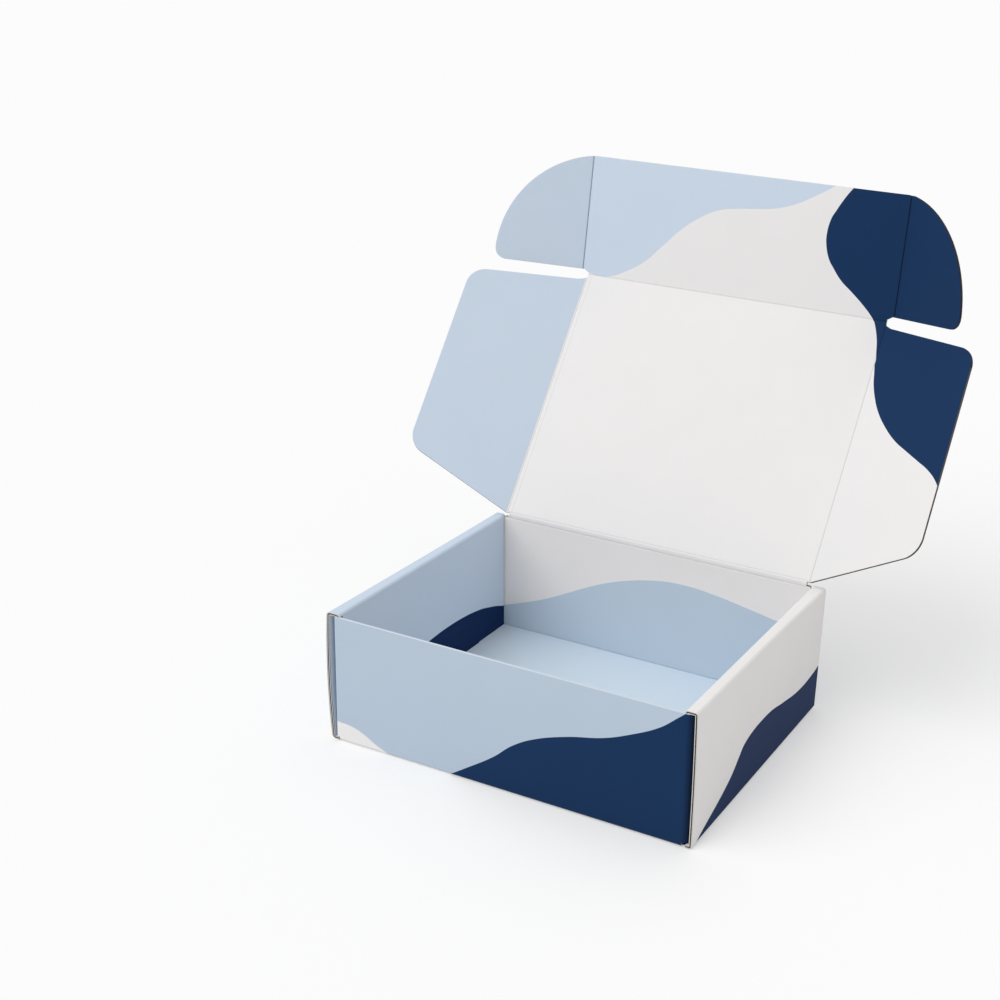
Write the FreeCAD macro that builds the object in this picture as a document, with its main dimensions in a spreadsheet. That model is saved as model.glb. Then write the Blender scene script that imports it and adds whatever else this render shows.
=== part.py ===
import FreeCAD, Part
import math
import os
import Sketcher
from FreeCAD import Placement, Rotation, Vector

# Corrugated mailer box with rolled side walls and a hinged tuck lid, shown open.
# Millimetres. +Z is up, the front wall faces -Y, and the origin is the middle of the base's underside.

SIZES = [
    ("width", 250.0, "tray, outside, across the side walls"),
    ("depth", 192.0, "tray, outside, front to back"),
    ("height", 88.0, "tray, outside, to the top of the rolled side walls"),
    ("board", 1.8, "thickness of the corrugated board"),
    ("fold_radius", 1.6, "outside radius of a fold"),
    ("crease_radius", 0.6, "inside radius of a fold"),
    ("crest_radius", 0.8, "on both edges of the back wall's top, under the lid's hinge"),
    ("seam_gap", 0.2, "between a dust flap and the outer panel that it lies against"),
    ("slot_clearance", 0.25, "on each side of an ear inside the double wall"),
    ("end_gap", 0.3, "between a panel's raw end and the panel that it stops at"),
    ("edge_setback", 0.4, "from the front wall's face back to the outer panel's raw edge"),
    ("corner_relief", 0.2, "from the end of a rounded crease to the notch beside it"),
    ("notch_width", 0.6, "cut in the base beside each end of the front and back walls"),
    ("dust_length", 76.0, "dust flap, from the wall that it is folded from"),
    ("dust_taper", 6.0, "slant of a dust flap's upper and lower edges"),
    ("tab_width", 30.0, "locking tab under an inner panel"),
    ("tab_pitch", 90.0, "from one locking tab's middle to the other's"),
    ("tab_lift", 0.3, "from the floor up to a locking tab's end"),
    ("running_gap", 0.3, "between a flap's rolled root and the panel that carries it"),
    ("tuck_clearance", 0.4, "between the shut tuck flap and the front wall"),
    ("wing_clearance", 1.4, "between a folded wing and the inner panel"),
    ("lid_angle", 53.0, "open lid, turned up from level, away from the tray"),
    ("tuck_fold", 27.4, "tuck flap, folded forward from the lid"),
    ("left_wing_fold", 28.0, "left wing, folded forward from the lid"),
    ("right_wing_fold", 25.5, "right wing, folded forward from the lid"),
    ("left_ear_fold", 28.0, "left ear, folded forward from the tuck flap"),
    ("right_ear_fold", 34.0, "right ear, folded forward from the tuck flap"),
    ("root_flat", 0.04, "left flat between the two rounds of a flap's root"),
    ("wing_width", 82.3, "wing, out from its fold"),
    ("wing_end_gap", 4.6, "from the lid's far fold back to a wing's far corner"),
    ("wing_top_drop", 20.0, "slant of a wing's far edge over its width"),
    ("wing_foot_rise", 25.6, "slant of a wing's near edge over its width"),
    ("wing_corner", 15.0, "radius of a wing's outer corners"),
    ("foot_clearance", 0.9, "from the lid's hinge to a wing's near corner"),
    ("tuck_height", 84.4, "tuck flap, out from the lid's fold"),
    ("tuck_shoulder", 3.4, "from the lid's fold to where the tuck flap reaches its full width"),
    ("ear_width", 65.3, "ear, out from its fold"),
    ("ear_foot", 4.6, "ear's near edge at its outer end"),
    ("ear_turn", 14.4, "where the ear's arc starts, along the fold"),
    ("ear_radius", 77.4, "radius of the ear's arc"),
    ("ear_corner", 8.0, "radius of the ear's outer corner"),
]

doc = FreeCAD.newDocument("MailerBox")
sheet = doc.addObject("Spreadsheet::Sheet", "Sizes")
for row, (alias, number, note) in enumerate(SIZES, start=1):
    sheet.set(f"A{row}", note)
    sheet.set(f"B{row}", str(number))
    sheet.setAlias(f"B{row}", alias)
doc.recompute()


class Size:
    """A length or angle with its number and with the expression that ties it to the sheet."""

    def __init__(self, value, text):
        self.value = value
        self.text = text

    def __add__(self, other):
        other = as_size(other)
        return Size(self.value + other.value, f"({self.text} + {other.text})")

    def __sub__(self, other):
        other = as_size(other)
        return Size(self.value - other.value, f"({self.text} - {other.text})")

    def __mul__(self, other):
        other = as_size(other)
        return Size(self.value * other.value, f"({self.text} * {other.text})")

    def __truediv__(self, divisor):
        return Size(self.value / divisor, f"({self.text} / {divisor})")

    def __neg__(self):
        return Size(-self.value, f"(-1 * {self.text})")


def as_size(thing):
    return thing if isinstance(thing, Size) else Size(float(thing), f"{thing}")


def cell(alias):
    return Size(float(sheet.get(alias)), f"Sizes.{alias}")


def cosine(angle):
    return Size(math.cos(math.radians(angle.value)), f"cos({angle.text})")


def sine(angle):
    return Size(math.sin(math.radians(angle.value)), f"sin({angle.text})")


width, depth, height = cell("width"), cell("depth"), cell("height")
board = cell("board")
end_gap, running_gap = cell("end_gap"), cell("running_gap")
crease = cell("crease_radius") + cell("corner_relief")

# Across the tray, from the outside in: outer panel, dust flap, slot for an ear, inner panel.
outer_face = width / 2
outer_panel = outer_face - board
dust_face = outer_panel - cell("seam_gap")
dust_back = dust_face - board
inner_back = dust_back - board - cell("slot_clearance") * 2
inner_face = inner_back - board

# Front to back and up.
front_face, front_back = -depth / 2, -depth / 2 + board
back_face, back_front = depth / 2, depth / 2 - board
panel_end = depth / 2 - cell("edge_setback")
foot = board + crease
rim = height - board
wall_top = rim - end_gap
notch_side = dust_back - crease
notch_out = notch_side + cell("notch_width")
notch_end = depth / 2 - board - crease

# The lid's hinge lies in the middle of the back wall's board, just above the tray's rim.
hinge_y = back_face - board / 2
hinge_z = height + running_gap + board / 2
tuck_back = front_back + cell("tuck_clearance") + board / 2
lid_length = hinge_y - tuck_back
lid_half = inner_face - cell("wing_clearance") - board / 2
tuck_half = dust_back - cell("slot_clearance") - board / 2
root_gap = board / 2 + running_gap


def bind(thing, name, size):
    """Sets a property and ties it to the sheet."""
    setattr(thing, name, size.value)
    thing.setExpression(name, size.text)


def origin_plane(body, role):
    return next(item for item in body.Origin.OriginFeatures if item.Role == role)


def new_body(name):
    body = doc.addObject("PartDesign::Body", name)
    body.Label = name
    return body


def sketch_of(body, name, plane, offset, outlines, arcs=None):
    """Closed outlines on one of the body's planes, with each corner tied to the sheet.

    An outline is a list of (across, up) corners. arcs names the sides that bulge, as
    {(outline, side): radius}; every other side is straight.
    """
    sketch = body.newObject("Sketcher::SketchObject", name)
    sketch.AttachmentSupport = [(origin_plane(body, plane), "")]
    sketch.MapMode = "FlatFace"
    sketch.AttachmentOffset = Placement(Vector(0, 0, offset.value), Rotation())
    sketch.setExpression("AttachmentOffset.Base.z", offset.text)
    for which, corners in enumerate(outlines):
        first = sketch.GeometryCount
        spots = [Vector(across.value, up.value, 0) for across, up in corners]
        for side, start in enumerate(spots):
            stop = spots[(side + 1) % len(spots)]
            radius = (arcs or {}).get((which, side))
            if radius is None:
                sketch.addGeometry(Part.LineSegment(start, stop))
            else:
                sketch.addGeometry(bulge(start, stop, radius.value))
        for side, (across, up) in enumerate(corners):
            here, after = first + side, first + (side + 1) % len(corners)
            sketch.addConstraint(Sketcher.Constraint("Coincident", here, 2, after, 1))
            tie(sketch, "DistanceX", here, across)
            tie(sketch, "DistanceY", here, up)
            radius = (arcs or {}).get((which, side))
            if radius is not None:
                made = sketch.addConstraint(Sketcher.Constraint("Radius", here, radius.value))
                sketch.setExpression(f"Constraints[{made}]", radius.text)
    return sketch


def bulge(start, stop, radius):
    """The shorter arc from start to stop, curved to the right of the way from start to stop."""
    chord = stop - start
    middle = (start + stop) / 2
    side = Vector(chord.y, -chord.x, 0).normalize()
    rise = radius - (radius**2 - (chord.Length / 2) ** 2) ** 0.5
    return Part.Arc(start, middle + side * rise, stop)


def tie(sketch, kind, side, size):
    """Holds where a side starts, measured from the sketch's origin."""
    made = sketch.addConstraint(Sketcher.Constraint(kind, -1, 1, side, 1, size.value))
    sketch.setExpression(f"Constraints[{made}]", size.text)


def pad(body, name, sketch, length, middle=False, backwards=False):
    feature = body.newObject("PartDesign::Pad", name)
    feature.Profile = sketch
    bind(feature, "Length", length)
    feature.Midplane = middle
    feature.Reversed = backwards
    doc.recompute()
    return feature


def edges_along(feature, axis, first, second):
    """Names of the straight edges parallel to an axis and through the two other coordinates."""
    others = [n for n in range(3) if n != axis]
    wanted = (first.value, second.value)
    found = []
    for number, edge in enumerate(feature.Shape.Edges, start=1):
        ends = [vertex.Point for vertex in edge.Vertexes]
        if edge.Curve.TypeId != "Part::GeomLine" or len(ends) != 2:
            continue
        if all(abs(end[n] - w) < 1e-4 for end in ends for n, w in zip(others, wanted)):
            found.append(f"Edge{number}")
    return found


def round_edges(body, name, radius, lines):
    """Rounds every edge of the body's tip that lies on one of the lines (axis, first, second)."""
    base = body.Tip
    names = []
    for axis, first, second in lines:
        names += edges_along(base, axis, first, second)
    feature = body.newObject("PartDesign::Fillet", name)
    feature.Base = (base, names)
    bind(feature, "Radius", radius)
    doc.recompute()
    return feature


def tray():
    """The folded sheet: base, front and back walls, double side walls and four dust flaps."""
    body = new_body("tray")

    base = [
        (-outer_face, -panel_end), (-notch_out, -panel_end), (-notch_out, -notch_end),
        (-notch_side, -notch_end), (-notch_side, front_face),
        (notch_side, front_face), (notch_side, -notch_end),
        (notch_out, -notch_end), (notch_out, -panel_end), (outer_face, -panel_end),
        (outer_face, panel_end), (notch_out, panel_end), (notch_out, notch_end),
        (notch_side, notch_end), (notch_side, back_face),
        (-notch_side, back_face), (-notch_side, notch_end),
        (-notch_out, notch_end), (-notch_out, panel_end), (-outer_face, panel_end),
    ]
    pad(body, "Base", sketch_of(body, "BaseOutline", "XY_Plane", as_size(0), [base]), board)

    # The wall's ends stop a notch short at the base, where the dust flaps fold round.
    front = [
        (-notch_side, as_size(0.0)), (notch_side, as_size(0.0)), (notch_side, foot),
        (dust_face, foot), (dust_face, wall_top), (-dust_face, wall_top),
        (-dust_face, foot), (-notch_side, foot),
    ]
    pad(body, "FrontWall", sketch_of(body, "FrontOutline", "XZ_Plane", -front_face, [front]),
        board, backwards=True)

    # The back wall rises between the lid's wings to the hinge.
    hinge_half = lid_half - root_gap
    back = [
        (-notch_side, as_size(0.0)), (notch_side, as_size(0.0)), (notch_side, foot),
        (dust_face, foot), (dust_face, wall_top), (hinge_half, wall_top), (hinge_half, height),
        (-hinge_half, height), (-hinge_half, wall_top), (-dust_face, wall_top),
        (-dust_face, foot), (-notch_side, foot),
    ]
    pad(body, "BackWall", sketch_of(body, "BackOutline", "XZ_Plane", -back_face, [back]), board)

    # The outer panel and the rolled top, in section.
    rolled = [
        (outer_panel, as_size(0.0)), (outer_face, as_size(0.0)), (outer_face, height),
        (inner_face, height), (inner_face, rim), (outer_panel, rim),
    ]
    side = pad(body, "RolledSide", sketch_of(body, "SideSection", "XZ_Plane", as_size(0), [rolled]),
               panel_end * 2, middle=True)

    # The inner panel hangs from the rolled top and stands in the base on two locking tabs.
    tab_in = (cell("tab_pitch") - cell("tab_width")) / 2
    tab_out = (cell("tab_pitch") + cell("tab_width")) / 2
    tab_end = cell("tab_lift")
    panel_front = tuck_back + board / 2 + end_gap
    panel_back = back_front - end_gap
    panel_foot, panel_top = board + end_gap, height - board / 2
    inner = [
        (panel_front, panel_foot), (-tab_out, panel_foot), (-tab_out, tab_end),
        (-tab_in, tab_end), (-tab_in, panel_foot), (tab_in, panel_foot), (tab_in, tab_end),
        (tab_out, tab_end), (tab_out, panel_foot), (panel_back, panel_foot),
        (panel_back, panel_top), (panel_front, panel_top),
    ]
    panel = pad(body, "InnerPanel",
                sketch_of(body, "InnerOutline", "YZ_Plane", inner_face, [inner]), board)

    flap_end = depth / 2 - cell("dust_length")
    taper = cell("dust_taper")
    front_flap = [
        (front_face, foot), (-notch_end, foot), (-flap_end, foot + taper),
        (-flap_end, wall_top - taper), (-notch_end, wall_top), (front_face, wall_top),
    ]
    back_flap = [
        (flap_end, foot + taper), (notch_end, foot), (back_face, foot),
        (back_face, wall_top), (notch_end, wall_top), (flap_end, wall_top - taper),
    ]
    flaps = pad(body, "DustFlaps",
                sketch_of(body, "DustOutline", "YZ_Plane", dust_back, [front_flap, back_flap]), board)

    mirrored = body.newObject("PartDesign::Mirrored", "OtherSide")
    mirrored.Originals = [side, panel, flaps]
    mirrored.MirrorPlane = (origin_plane(body, "YZ_Plane"), [""])
    body.Tip = mirrored
    doc.recompute()

    # Slots in the base for the locking tabs.
    slots = []
    slot_in, slot_out = inner_face - end_gap, inner_back + end_gap
    slot_near, slot_far = tab_in - end_gap, tab_out + end_gap
    for left, right in ((slot_in, slot_out), (-slot_out, -slot_in)):
        for low, high in ((slot_near, slot_far), (-slot_far, -slot_near)):
            slots.append([(left, low), (right, low), (right, high), (left, high)])
    cut = body.newObject("PartDesign::Pocket", "TabSlots")
    cut.Profile = sketch_of(body, "SlotOutline", "XY_Plane", as_size(0), slots)
    bind(cut, "Length", board)
    cut.Reversed = True
    doc.recompute()

    x_axis, y_axis, z_axis = 0, 1, 2
    floor = as_size(0.0)
    folds = [
        (x_axis, front_face, floor), (x_axis, back_face, floor),
        (y_axis, outer_face, floor), (y_axis, -outer_face, floor),
        (y_axis, outer_face, height), (y_axis, -outer_face, height),
        (y_axis, inner_face, height), (y_axis, -inner_face, height),
        (z_axis, dust_face, front_face), (z_axis, -dust_face, front_face),
        (z_axis, dust_face, back_face), (z_axis, -dust_face, back_face),
    ]
    round_edges(body, "Folds", cell("fold_radius"), folds)
    creases = [
        (x_axis, front_back, board), (x_axis, back_front, board),
        (z_axis, dust_back, front_back), (z_axis, -dust_back, front_back),
        (z_axis, dust_back, back_front), (z_axis, -dust_back, back_front),
    ]
    round_edges(body, "Creases", cell("crease_radius"), creases)
    crests = [(x_axis, back_face, height), (x_axis, back_front, height)]
    round_edges(body, "Crests", cell("crest_radius"), crests)
    return body


def plate(name, corners, arcs=None, rounded=(), root=None):
    """A flat flap in its own frame: board centred on Z = 0, with the fold's axis through the origin."""
    body = new_body(name)
    outline = sketch_of(body, f"{name}_outline", "XY_Plane", as_size(0), [corners], arcs)
    pad(body, f"{name}_board", outline, board, middle=True)
    z_axis = 2
    for number, (radius, spots) in enumerate(rounded, start=1):
        round_edges(body, f"{name}_corner{number}", radius,
                    [(z_axis, across, up) for across, up in spots])
    if root:
        axis, at = root
        near, far = board / 2, -board / 2
        lines = [(axis, at, near), (axis, at, far)]
        round_edges(body, f"{name}_root", (board - cell("root_flat")) / 2, lines)
    return body


def lid_panel():
    half = lid_half - root_gap
    end = lid_length - root_gap
    root = -board / 2
    corners = [(-half, root), (half, root), (half, end), (-half, end)]
    return plate("lid_panel", corners, root=(0, root))


def wing(name, turn):
    """A side flap of the lid. turn is 1 on the right and -1 on the left."""
    root = board / 2 * -turn
    outer = cell("wing_width") * turn
    near, far = cell("foot_clearance"), lid_length - cell("wing_end_gap")
    low = near + cell("wing_foot_rise")
    high = far - cell("wing_top_drop")
    corners = [(root, near), (outer, low), (outer, high), (root, far)]
    if turn < 0:
        corners.reverse()
    return plate(name, corners, rounded=[(cell("wing_corner"), [(outer, low), (outer, high)])],
                 root=(1, root))


def tuck_flap():
    half = tuck_half - root_gap
    narrow = lid_half
    root, shoulder, top = -board / 2, cell("tuck_shoulder"), cell("tuck_height")
    corners = [
        (-narrow, root), (narrow, root), (narrow, board / 2), (half, shoulder), (half, top),
        (-half, top), (-half, shoulder), (-narrow, board / 2),
    ]
    return plate("tuck_flap", corners, root=(0, root))


def ear(name, turn):
    """A rounded locking ear of the tuck flap. turn is 1 on the right and -1 on the left."""
    root = board / 2 * -turn
    outer = cell("ear_width") * turn
    near, foot_end = cell("tuck_shoulder"), cell("ear_foot")
    top, turn_up = cell("tuck_height"), cell("ear_turn")
    corners = [(root, near), (outer, foot_end), (outer, turn_up), (root, top)]
    side = 2
    if turn < 0:
        corners.reverse()
        side = 0
    return plate(name, corners, arcs={(0, side): cell("ear_radius")},
                 rounded=[(cell("ear_corner"), [(outer, foot_end)])], root=(1, root))


def place(body, at, turns):
    """Puts a flap's fold where it belongs. turns is a list of (axis, angle), the outermost first."""
    spin = " * ".join(
        f"create(<<rotation>>; create(<<vector>>; {axis[0]}; {axis[1]}; {axis[2]}); {angle.text})"
        for axis, angle in turns
    )
    spot = f"create(<<vector>>; {at[0].text}; {at[1].text}; {at[2].text})"
    body.setExpression("Placement", f"create(<<placement>>; {spot}; {spin})")


X_AXIS, Y_AXIS = (1, 0, 0), (0, 1, 0)
lid_angle = cell("lid_angle")
tuck_angle = lid_angle + cell("tuck_fold")
hinge = (as_size(0.0), hinge_y, hinge_z)
lid_end = (
    as_size(0.0),
    hinge_y + lid_length * cosine(lid_angle),
    hinge_z + lid_length * sine(lid_angle),
)


def beside(spot, across):
    return (spot[0] + across, spot[1], spot[2])


tray_body = tray()
lid = lid_panel()
place(lid, hinge, [(X_AXIS, lid_angle)])
tuck = tuck_flap()
place(tuck, lid_end, [(X_AXIS, tuck_angle)])
flaps = []
for hand, turn in (("left", -1), ("right", 1)):
    side_flap = wing(f"lid_{hand}_wing", turn)
    fold = cell(f"{hand}_wing_fold") * -turn
    place(side_flap, beside(hinge, lid_half * turn), [(X_AXIS, lid_angle), (Y_AXIS, fold)])
    lock = ear(f"tuck_{hand}_ear", turn)
    fold = cell(f"{hand}_ear_fold") * -turn
    place(lock, beside(lid_end, tuck_half * turn), [(X_AXIS, tuck_angle), (Y_AXIS, fold)])
    flaps += [side_flap, lock]
doc.recompute()

bodies = [tray_body, lid, tuck, *flaps]
for item in doc.Objects:
    if "Invalid" in item.State or "Error" in item.State:
        raise RuntimeError(f"{item.Name} is {item.State}")
os.makedirs("parts", exist_ok=True)
for body in bodies:
    shape = body.Shape
    if shape.isNull() or not shape.isValid() or len(shape.Solids) != 1:
        raise RuntimeError(f"{body.Label} isn't one valid solid")
    print(f"{body.Label}: {shape.Volume:.0f} cubic mm, {len(shape.Faces)} faces")
for body in bodies:
    body.Shape.exportStep(f"parts/{body.Label}.step")
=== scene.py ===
import math

import bpy
import numpy as np
from mathutils import Matrix, Vector


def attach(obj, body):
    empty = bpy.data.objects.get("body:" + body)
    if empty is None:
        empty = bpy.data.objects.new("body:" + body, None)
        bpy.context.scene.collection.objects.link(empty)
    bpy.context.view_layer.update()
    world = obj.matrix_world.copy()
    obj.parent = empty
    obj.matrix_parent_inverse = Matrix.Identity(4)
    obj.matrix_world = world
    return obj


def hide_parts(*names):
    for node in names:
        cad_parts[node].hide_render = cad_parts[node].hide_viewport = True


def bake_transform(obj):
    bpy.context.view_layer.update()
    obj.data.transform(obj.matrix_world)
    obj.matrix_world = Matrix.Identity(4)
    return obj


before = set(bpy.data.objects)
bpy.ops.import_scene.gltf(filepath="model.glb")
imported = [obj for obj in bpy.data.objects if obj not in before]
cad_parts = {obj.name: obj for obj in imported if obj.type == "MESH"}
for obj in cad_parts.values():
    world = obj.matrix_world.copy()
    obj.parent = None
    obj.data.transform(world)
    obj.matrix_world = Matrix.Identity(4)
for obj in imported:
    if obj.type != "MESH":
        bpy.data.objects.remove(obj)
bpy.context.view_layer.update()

# The folded board, with its print, its creases and its raw edges. Lengths are in millimetres up to Piece.make.
MM = 0.001
BOARD = 1.8
HALF = BOARD / 2

# The tray: the faces and edges of its walls, the base's notches, the tabs in their slots, and the folds.
DEPTH, HEIGHT = 192.0, 88.0
BACK = DEPTH / 2
OUTER_FACE, DUST_FACE, INNER_FACE = 125.0, 123.0, 117.1
FOOT, WALL_TOP, PANEL_FOOT = 2.6, 85.9, 2.1
NOTCH_SIDE, NOTCH_OUT, NOTCH_END = 120.4, 121.0, 93.4
PANEL_END = 95.6
DUST_END, DUST_TAPER = 20.0, 6.0
CREST_HALF, CREST_SCORE, FOLD_END = 116.2, 86.5, 118.6
INNER_FRONT, INNER_BACK, INNER_ROOT = -91.7, 93.5, 1.1
TAB_NEAR, TAB_FAR, TAB_END, SLOT_SPARE = 30.0, 60.0, 0.3, 0.3
FOLD_RADIUS, SOFT_RADIUS, BACK_RADIUS = 1.9, 5.2, 2.4
FOLD_STEPS = (0.2, 0.45, 0.75, 1.2)
ARC_STEPS, CORNER_STEPS, EAR_STEPS, CREASE_STEPS = 10, 12, 40, 36
BASE_PRESS, PRESS_BREADTH, CREST_PRESS = 0.35, 0.5, 0.3
BASE_ZONE, ROLL_CLEAR = 20, 1.0
OUTER_COLUMNS, OUTER_STEP, INNER_COLUMNS = 24, 6.0, 8

# Where the box isn't square: the outer panels stand off, and the front left corner leans in.
FRONT_STANDOFF, FRONT_BELLY, RIGHT_BELLY, BACK_FLARE = 1.2, 1.8, 0.4, 1.7
STANDOFF_FROM, FLARE_FROM = 60.0, 10.0
STANDOFF_POWER, FLARE_POWER, BELLY_POWER = 1.6, 1.5, 0.8
CORNER_LEAN, LEAN_FROM, LEAN_ACROSS, LEAN_ALONG = 1.8, 100.0, 22.0, 60.0

# The lid and its flaps, at the photographed angles.
HINGE = np.array([0.0, 95.1, 89.2])
LID_LENGTH, LID_HALF = 188.0, 114.8
TUCK_HALF, TUCK_HEIGHT, SHOULDER = 120.05, 84.8, 3.4
TUCK_ROOT, WEB_HALF = 115.8, 115.0
LID_ANGLE, TUCK_FOLD = math.radians(53.0), math.radians(27.4)
WING_FOLDS = {"left": math.radians(28.0), "right": math.radians(25.5)}
EAR_FOLDS = {"left": math.radians(28.0), "right": math.radians(34.0)}
WING_WIDTH, WING_FAR = 82.3, 183.4
WING_RISE, WING_DROP, WING_CORNER = 25.6, 20.0, 15.0
WING_HEEL, WING_SLOT, WING_TIP, WING_GAP = 6.5, 3.4, 0.1, 1.0
WEB_CORNERS = ((116.1, 0.0), (115.3, 0.8), (WEB_HALF, 1.5))
EAR_WIDTH, EAR_FOOT, EAR_TURN, EAR_RADIUS, EAR_CORNER = 65.3, 4.6, 14.4, 77.4, 8.0
HINGE_CREASE, TUCK_CREASE, SIDE_CREASE = 3.8, 3.2, 2.8
GROOVE_DEPTH, GROOVE_BREADTH, BLEND_INSET = 0.3, 0.6, 0.15

# The lines pressed into creases: share of the crease's width, depth and breadth. A bead lies beside some, and
# over LINE_INK of an ear's line the inner face takes a darker paint: the pressed ink, with painted shade of the
# groove.
LID_LINE, LID_BEAD = (0.78, 0.25, 0.35), 0.06
FLAP_LINE, RIGHT_WING_LINE = (0.5, 0.35, 0.35), (0.68, 0.3, 0.35)
EAR_LINE, EAR_BEAD, LINE_INK = (0.56, 0.45, 0.58), 0.1, 0.8

# The cut board: two liners with the fluted medium between them, set back from the cut.
LINER, FLAP_LINER, MEDIUM = 0.48, 0.3, 0.22
FLUTE_PITCH, FLUTE_POINTS = 3.4, 10
FLUTE_TURN = 2 * math.pi / FLUTE_PITCH
RECESS, MEDIUM_SETBACK, MEDIUM_FILL = 1.0, 0.08, 0.97
LIP_WIDTH, LIP_DROP = 0.5, 0.1
CRUSH_RISE, CRUSH_DIP, CRUSH_RIPPLE = 0.22, 0.06, 0.05
CRUSH_ROWS, CRUSH_BREADTH = 9, 0.2

X, Y, Z = np.eye(3)


def clamp(value):
    return min(max(value, 0.0), 1.0)


def unit(vector):
    vector = np.asarray(vector, float)
    return vector / np.linalg.norm(vector)


class Plane:
    """A panel's own frame: u across, v away from its fold, and n out of its inner face."""

    def __init__(self, origin, u, v):
        self.origin, self.u, self.v = np.array(origin, float), unit(u), unit(v)
        self.n = np.cross(self.u, self.v)

    def at(self, u, v, height=0.0):
        return self.origin + self.u * u + self.v * v + self.n * height


def upright(angle):
    return np.array([0.0, math.cos(angle), math.sin(angle)])


lid_plane = Plane(HINGE, X, upright(LID_ANGLE))
tuck_plane = Plane(lid_plane.at(0, LID_LENGTH), X, upright(LID_ANGLE + TUCK_FOLD))


def side_plane(carrier, side, reach, fold):
    """The plane of a flap beside a panel. u runs out of the fold on both sides, and n is the inner face."""
    across = carrier.u * side * math.cos(fold) + carrier.n * math.sin(fold)
    plane = Plane(carrier.at(side * reach, 0), across, carrier.v)
    plane.n = plane.n * side
    return plane


SIDES = {"left": -1, "right": 1}
wing_planes = {hand: side_plane(lid_plane, side, LID_HALF, WING_FOLDS[hand]) for hand, side in SIDES.items()}
ear_planes = {hand: side_plane(tuck_plane, side, TUCK_HALF, EAR_FOLDS[hand]) for hand, side in SIDES.items()}


# Materials


def linear(red, green, blue):
    def one(value):
        value /= 255
        return value / 12.92 if value <= 0.04045 else ((value + 0.055) / 1.055) ** 2.4
    return one(red), one(green), one(blue), 1.0


# The print's three inks, with the faces on which they differ a little. Some faces' copies are lighter or darker
# for how light falls on them: painted light and painted shade.
WHITE = linear(238, 236, 235)
# Painted light: the front's white, a little lighter than the others for the light on the front.
FRONT_WHITE_LIT = linear(242, 240, 239)
# Painted light: the back wall's inner white, lighter and warmer against the shade and the blue bounce light inside
# the tray.
BACK_WHITE_LIT = linear(247, 241, 237)
LIGHT_BLUE = linear(205, 218, 233)
OUTSIDE_BLUE = linear(187, 202, 218)
# Painted light: the base's inner blue, lighter against the shade inside the tray.
BASE_BLUE_LIT = linear(211, 225, 237)
# Painted shade: the back wall's inner blue, darker against the light thrown up from the base.
BACK_BLUE_SHADED = linear(198, 212, 225)
NAVY = linear(19, 50, 88)
# Painted shade: the side walls' navy, darker against their sheen in grazing light.
SIDE_NAVY_SHADED = linear(7, 38, 80)

# Pressed lines and folds, darkened as painted shade over pressed ink in the ears' lines, and the colours of cut
# edges.
SCORE_SHADE = linear(6, 8, 14)
BLUE_SCORE_SHADE = linear(140, 158, 180)
NAVY_SCORE_SHADE = linear(4, 14, 32)
CUT_WHITE = linear(222, 219, 214)
CRUSHED = linear(215, 223, 233)
FLAP_CUT = linear(124, 117, 111)
INKED_CUT = linear(40, 45, 58)
KRAFT = linear(133, 118, 107)
# Painted shade: kraft as dark as the hollows between the liners look, for the recess behind cut edges, the medium
# of the dark cuts beside navy print, the slots' walls and the creases' ends.
KRAFT_SHADE = linear(98, 86, 77)

# How the inks and the paper are drawn. An ink gives way to the next within INK_EDGE millimetres.
INK_EDGE, WAVE_MARGIN = 0.2, 2.0
PRINT_ROUGH, PRINT_BUMP = 0.58, 0.35
PAPER_ROUGH, PAPER_BUMP = 0.85, 0.6
FIBRE_SCALE, SPECK_SCALE, CLOUD_SCALE = 1900.0, 2600.0, 34.0
FIBRE_TONE, CLOUD_TONE = 0.05, 0.03
FLUTE_RELIEF, CLOUD_RELIEF, RELIEF_DEPTH = 0.18, 0.8, 0.00006
GRAIN, PAPER_SPECULAR = 0.12, 0.09
SPECK_CONTRAST, SPECK_OFFSET = 1.6, -0.3


class Nodes:
    """Short names for building the nodes of a material or of the world."""

    def __init__(self, owner):
        self.tree = owner.node_tree

    def add(self, kind, inputs=None, **settings):
        node = self.tree.nodes.new(kind)
        for name, value in settings.items():
            setattr(node, name, value)
        for key, value in (inputs or {}).items():
            if isinstance(value, bpy.types.NodeSocket):
                self.tree.links.new(value, node.inputs[key])
            else:
                node.inputs[key].default_value = value
        return node

    def math(self, operation, first, second=0.0, third=0.0, clamp=False):
        node = self.add("ShaderNodeMath", {0: first, 1: second, 2: third}, operation=operation, use_clamp=clamp)
        return node.outputs[0]

    def dot(self, vector, direction):
        node = self.add("ShaderNodeVectorMath", {0: vector, 1: tuple(direction)}, operation="DOT_PRODUCT")
        return node.outputs["Value"]

    def mix(self, factor, first, second):
        node = self.add("ShaderNodeMix", data_type="RGBA")
        self.join(factor, node.inputs[0])
        self.join(first, node.inputs[6])
        self.join(second, node.inputs[7])
        return node.outputs[2]

    def rest_place(self):
        """The place of a point at rest, which a joint's turn doesn't change."""
        return self.add("ShaderNodeAttribute", attribute_name="rest").outputs["Vector"]

    def noise(self, place, scale, detail, roughness):
        inputs = {"Vector": place, "Scale": scale, "Detail": detail, "Roughness": roughness}
        return self.add("ShaderNodeTexNoise", inputs).outputs["Fac"]

    def shows_backdrop(self):
        """1 for the rays that show the pale backdrop: the camera's, and those off gloss and through glass."""
        path = self.add("ShaderNodeLightPath")
        shown = self.math("MAXIMUM", path.outputs["Is Camera Ray"], path.outputs["Is Glossy Ray"])
        return self.math("MAXIMUM", shown, path.outputs["Is Transmission Ray"])

    def join(self, value, socket):
        if isinstance(value, bpy.types.NodeSocket):
            self.tree.links.new(value, socket)
        else:
            socket.default_value = value


def new_material(name):
    material = bpy.data.materials.new(name)
    material.use_nodes = True
    material.node_tree.nodes.clear()
    return material, Nodes(material)


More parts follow.
